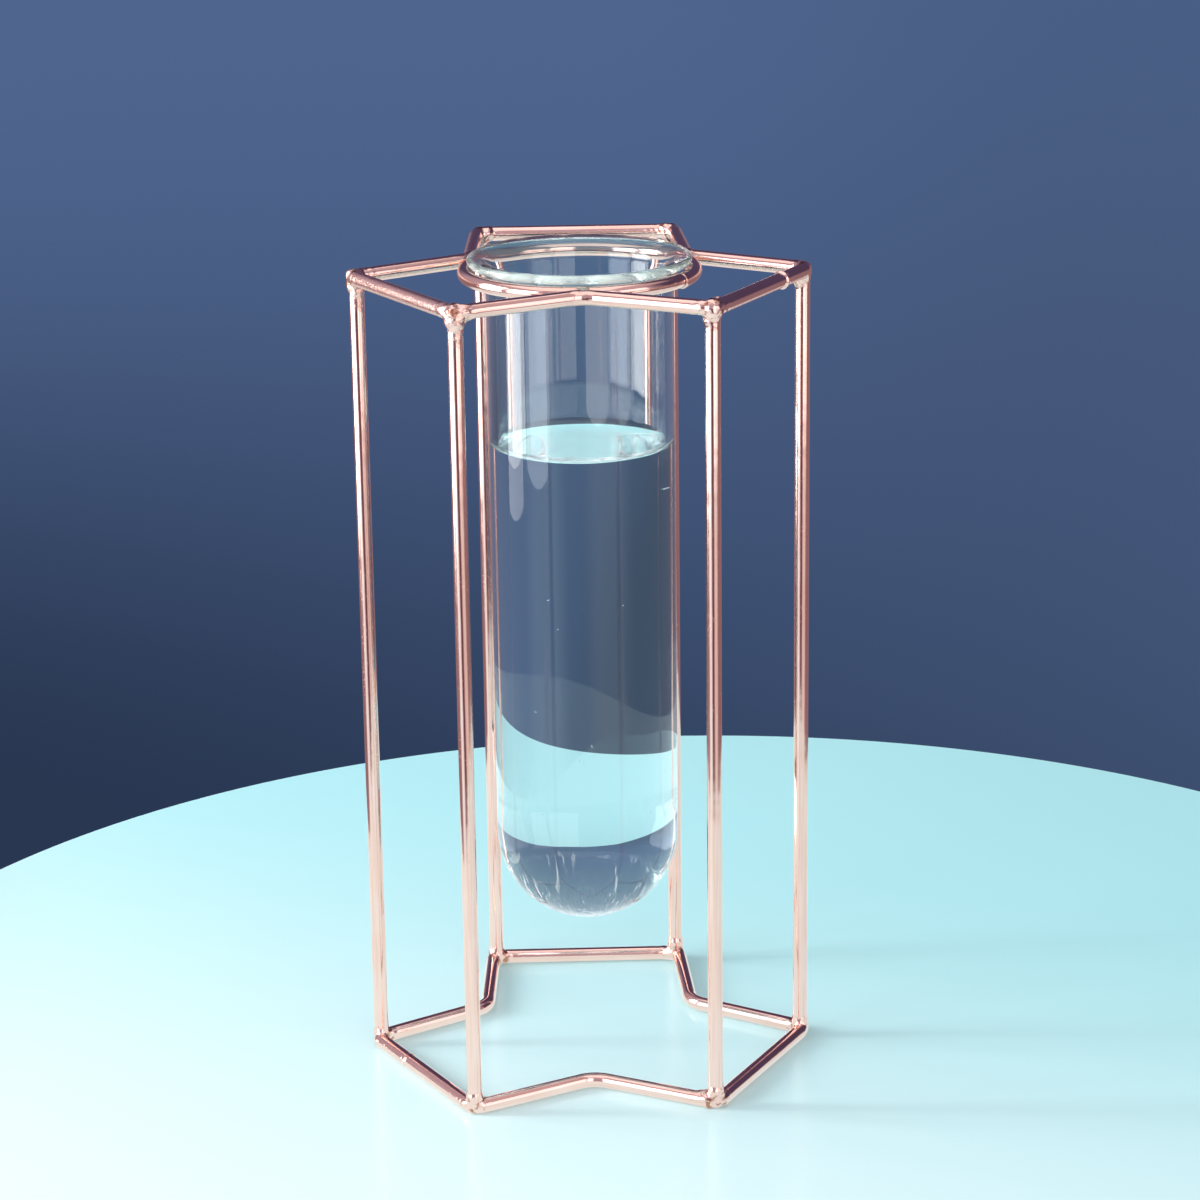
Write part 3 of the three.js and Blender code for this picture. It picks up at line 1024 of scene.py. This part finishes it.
def floor_material():
    material, tree, place = new_material("pale_floor")
    across, along, _ = parts(place)
    colour = mixed(noise(place, 9), (0.46, 0.84, 0.89, 1), (0.475, 0.855, 0.90, 1))
    # Painted light: the floor is paler towards the window at the front left
    to_window = total(along, product(across, 0.5))
    colour = mixed(ranged(to_window, 0.16, -0.16), colour, (0.75, 0.905, 0.915, 1))
    # Close to the window it is a little deeper, because more light falls on it there
    colour = mixed(ranged(across, -0.12, -0.22), colour, (0.53, 0.68, 0.69, 1))
    grain = bumped((noise(place, 2500, detail=1), 0.002))
    matt = surface(tree, Base_Color=colour, Roughness=0.22, Specular_IOR_Level=0.15, Normal=grain)
    # Metal mirrors the floor as a table in the sun: for those rays the floor is a painted glow, an emission
    # that is brighter on the left
    path = add(tree, "LightPath").outputs
    mirrored = calculate("SUBTRACT", path["Is Glossy Ray"], path["Is Transmission Ray"])
    painted_sunlight = mixed(ranged(across, -0.06, 0.10), (1.05, 1.27, 1.3, 1), (0.92, 1.12, 1.17, 1))
    floor_glow = add(tree, "Emission", Color=painted_sunlight).outputs[0]
    finish(mixed_shaders(product(mirrored, 0.85), matt, floor_glow))
    return material


# Floor, background, lamps and camera

FLOOR_CENTRE = (26.0, -7.0)
FLOOR_RADIUS = 211.0
FLOOR_THICKNESS = 8.0
FLOOR_FRONT = 1.1
FLOOR_EDGE = 1.5


def build_floor():
    """A round pale table top with a softened edge, a little longer in front."""
    sides = 256
    edge = arc_profile((FLOOR_RADIUS - FLOOR_EDGE, -FLOOR_EDGE), FLOOR_EDGE, 0, RIGHT_ANGLE, step=0.3)
    profile = [(FLOOR_RADIUS, -FLOOR_THICKNESS), *edge]
    points = turned_rows(profile, sides)
    points[:, 1] *= np.where(points[:, 1] < 0, FLOOR_FRONT, 1)
    points[:, :2] += FLOOR_CENTRE
    faces = grid_faces(len(profile), sides, False)
    faces.append(tuple(range(sides - 1, -1, -1)))
    top = (len(profile) - 1) * sides
    faces.append(tuple(top + j for j in range(sides)))
    mesh = bpy.data.meshes.new("floor")
    mesh.from_pydata((points * MM).tolist(), [], faces)
    mesh.materials.append(floor_material())
    for polygon in mesh.polygons:
        polygon.use_smooth = len(polygon.vertices) == 4
    floor = put("floor", mesh)
    return floor


def near_angle(angle, middle, half_width):
    """1 at the middle of a sector, fading to 0 at its ends; both are given in degrees."""
    off = calculate("ABSOLUTE", calculate("SUBTRACT", angle, math.radians(middle)))
    return ranged(off, math.radians(half_width), math.radians(0.3 * half_width))


def room_colour(way):
    """The room that the metal mirrors: a pale ceiling, dim walls, and light off the floor by the windows."""
    x, y, z = way
    around = calculate("ARCTAN2", x, product(y, -1.0))
    dark = (0.085, 0.062, 0.135, 1)
    walls = mixed(ranged(around, -2.95, -2.4), dark, (0.50, 0.41, 0.50, 1))
    walls = mixed(ranged(around, 1.1, 1.6), walls, dark)
    below = mixed(near_angle(around, -8, 70), (0.30, 0.20, 0.23, 1), (0.15, 0.065, 0.09, 1))
    colour = mixed(ranged(z, -0.04, 0.15), below, walls)
    ceiling = product(ranged(z, 0.55, 0.8), ranged(y, 0.5, 0.25))
    colour = mixed(ceiling, colour, (0.64, 0.53, 0.58, 1))
    low = ranged(z, -0.15, -0.26)
    for middle, half_width, glow in ((-50, 33, (1.0, 1.1, 1.2, 1)), (30, 36, (0.84, 0.75, 0.76, 1))):
        colour = mixed(product(low, near_angle(around, middle, half_width)), colour, glow)
    return mixed(ranged(z, -0.42, -0.52), colour, (0.95, 1.1, 1.15, 1))


def build_world():
    """A slate-blue background, soft white light for matt surfaces and a dim room for reflections."""
    world = bpy.data.worlds.new("studio")
    bpy.context.scene.world = world
    world.use_nodes = True
    tree = world.node_tree
    tree.nodes.clear()
    path = add(tree, "LightPath").outputs
    way = parts(add(tree, "TexCoord").outputs["Generated"])
    side, _, height = way
    # The background is darkest low down on the left, and a little darker on the right
    lean = product(side, ranged(height, -0.15, -0.35, 0.0, 0.4))
    paler = ranged(total(height, lean), -0.40, -0.12)
    slate = mixed(paler, (0.022, 0.038, 0.082, 1), (0.078, 0.130, 0.270, 1))
    right = ranged(side, 0.02, 0.17, 0.0, 0.22)
    slate = mixed(right, slate, (0.035, 0.055, 0.10, 1))
    room = room_colour(way)
    soft = (0.45, 0.455, 0.47, 1)
    lit_slate = mixed(ranged(height, -0.25, 0.15, 0.2, 0.8), slate, (0.115, 0.22, 0.30, 1))
    colour = mixed(path["Is Glossy Ray"], soft, room)
    colour = mixed(path["Is Transmission Ray"], colour, lit_slate)
    colour = mixed(path["Is Camera Ray"], colour, slate)
    background = add(tree, "Background", Color=colour)
    add(tree, "OutputWorld", Surface=background.outputs[0])


def soft_panel(name, from_angle, to_angle, low, high, distance, radiance, colour=(1, 1, 1)):
    """An upright panel of light. Angles go round the vase from the camera's side, in degrees, right being
    positive; low and high are its ends' elevations."""
    middle = math.radians((from_angle + to_angle) / 2)
    width = 2 * distance * math.tan(math.radians(to_angle - from_angle) / 2)
    ends = [90 + distance * math.tan(math.radians(angle)) for angle in (low, high)]
    lamp = bpy.data.lights.new(name, "AREA")
    lamp.shape = "RECTANGLE"
    lamp.size, lamp.size_y = width * MM, (ends[1] - ends[0]) * MM
    lamp.energy = radiance * math.pi * lamp.size * lamp.size_y
    lamp.color = colour
    panel = put(name, lamp)
    outward = Vector((math.sin(middle), -math.cos(middle), 0))
    panel.location = (outward * distance + Vector((AXIS[0], AXIS[1], sum(ends) / 2))) * MM
    panel.rotation_mode = "QUATERNION"
    panel.rotation_quaternion = outward.to_track_quat("Z", "Y")
    return panel


def lamps_reach(name, thing, state):
    """A collection that keeps lamps' light on an object, or off it."""
    group = bpy.data.collections.new(name)
    group.objects.link(thing)
    group.collection_objects[0].light_linking.link_state = state
    return group


# Windows: their two ends round the vase, lowest and highest elevation, distance, radiance and, where they
# aren't white, colour
WINDOWS = {
    "window_left_far": (-107, -79, -12, 36, 1000, 6.5),
    "window_left_sill": (-107, -79, -13.5, -12, 1000, 3.0),
    "window_left_near": (-72, -42, -12.5, 36, 1000, 3.4, (0.82, 0.90, 1.0)),
    "window_right_near": (5, 34, -11, 42, 1100, 1.5),
    "window_right_far": (38, 66, -11, 34, 1100, 1.2),
}
# The brightest strip of a window, which draws the shadows on the floor
BRIGHT_STRIP = (-95, -88, 8, 24, 1000, 40)
CEILING_PLACE = (-150, -100, 1300)
CEILING_SIZE = 1300
CEILING_RADIANCE = 0.75


def build_lamps(floor):
    """Windows and a ceiling. The floor has windows of its own that it doesn't mirror, or else it would
    gleam white where it is seen against them."""
    off_floor = lamps_reach("off_the_floor", floor, "EXCLUDE")
    on_floor = lamps_reach("on_the_floor", floor, "INCLUDE")
    for name, place in WINDOWS.items():
        soft_panel(name, *place).light_linking.receiver_collection = off_floor
    for name, place in {**WINDOWS, "bright_strip": BRIGHT_STRIP}.items():
        panel = soft_panel(name + "_on_floor", *place)
        panel.light_linking.receiver_collection = on_floor
        panel.visible_glossy = False
        panel.visible_transmission = False
    lamp = bpy.data.lights.new("ceiling", "AREA")
    lamp.shape = "SQUARE"
    lamp.size = CEILING_SIZE * MM
    lamp.energy = CEILING_RADIANCE * math.pi * lamp.size**2
    put("ceiling", lamp).location = Vector(CEILING_PLACE) * MM


# The camera as fitted to the photograph: place from the tube's foot on the table, and angles in degrees
CAMERA_PLACE = (-14.01, -726.0, 323.1)
CAMERA_PITCH = 16.887
CAMERA_YAW = 1.374
CAMERA_ROLL = -0.778
CAMERA_LENS = 104.56
SENSOR_WIDTH = 36.0


def build_camera():
    pitch, yaw, roll = (math.radians(angle) for angle in (CAMERA_PITCH, CAMERA_YAW, CAMERA_ROLL))
    forward = Vector((math.sin(yaw) * math.cos(pitch), math.cos(yaw) * math.cos(pitch), -math.sin(pitch)))
    level = Vector((math.cos(yaw), -math.sin(yaw), 0))
    upward = level.cross(forward)
    right = level * math.cos(roll) + upward * math.sin(roll)
    top = upward * math.cos(roll) - level * math.sin(roll)
    data = bpy.data.cameras.new("camera")
    data.lens = CAMERA_LENS
    data.sensor_width = SENSOR_WIDTH
    data.clip_start, data.clip_end = 0.01, 20
    camera = put("camera", data)
    axes = Matrix((right, top, -forward)).transposed()
    place = (Vector(CAMERA_PLACE) + Vector((*AXIS, 0))) * MM
    camera.matrix_world = Matrix.Translation(place) @ axes.to_4x4()
    bpy.context.scene.camera = camera


build_camera()
build_world()
build_lamps(build_floor())

metal = plating()
loop_piece("lower", "left", -1, metal)
loop_piece("upper", "right", 1, metal)
for upright in UPRIGHTS:
    upright_piece(upright, metal)
ring_piece(metal)

dry_glass = glass_material("tube_glass", GLASS_IOR, True)
wetted_glass = glass_material("tube_glass_wetted", GLASS_IOR / WATER_IOR, False)
glass_piece(dry_glass, wetted_glass)
water_piece(water_material(), wetted_side())

bpy.context.scene.view_settings.view_transform = "Standard"
# Light is thrown about many times inside the lip, the meniscus and the round bottom
for paths in ("max_bounces", "glossy_bounces", "transmission_bounces", "transparent_max_bounces"):
    setattr(bpy.context.scene.cycles, paths, 64)
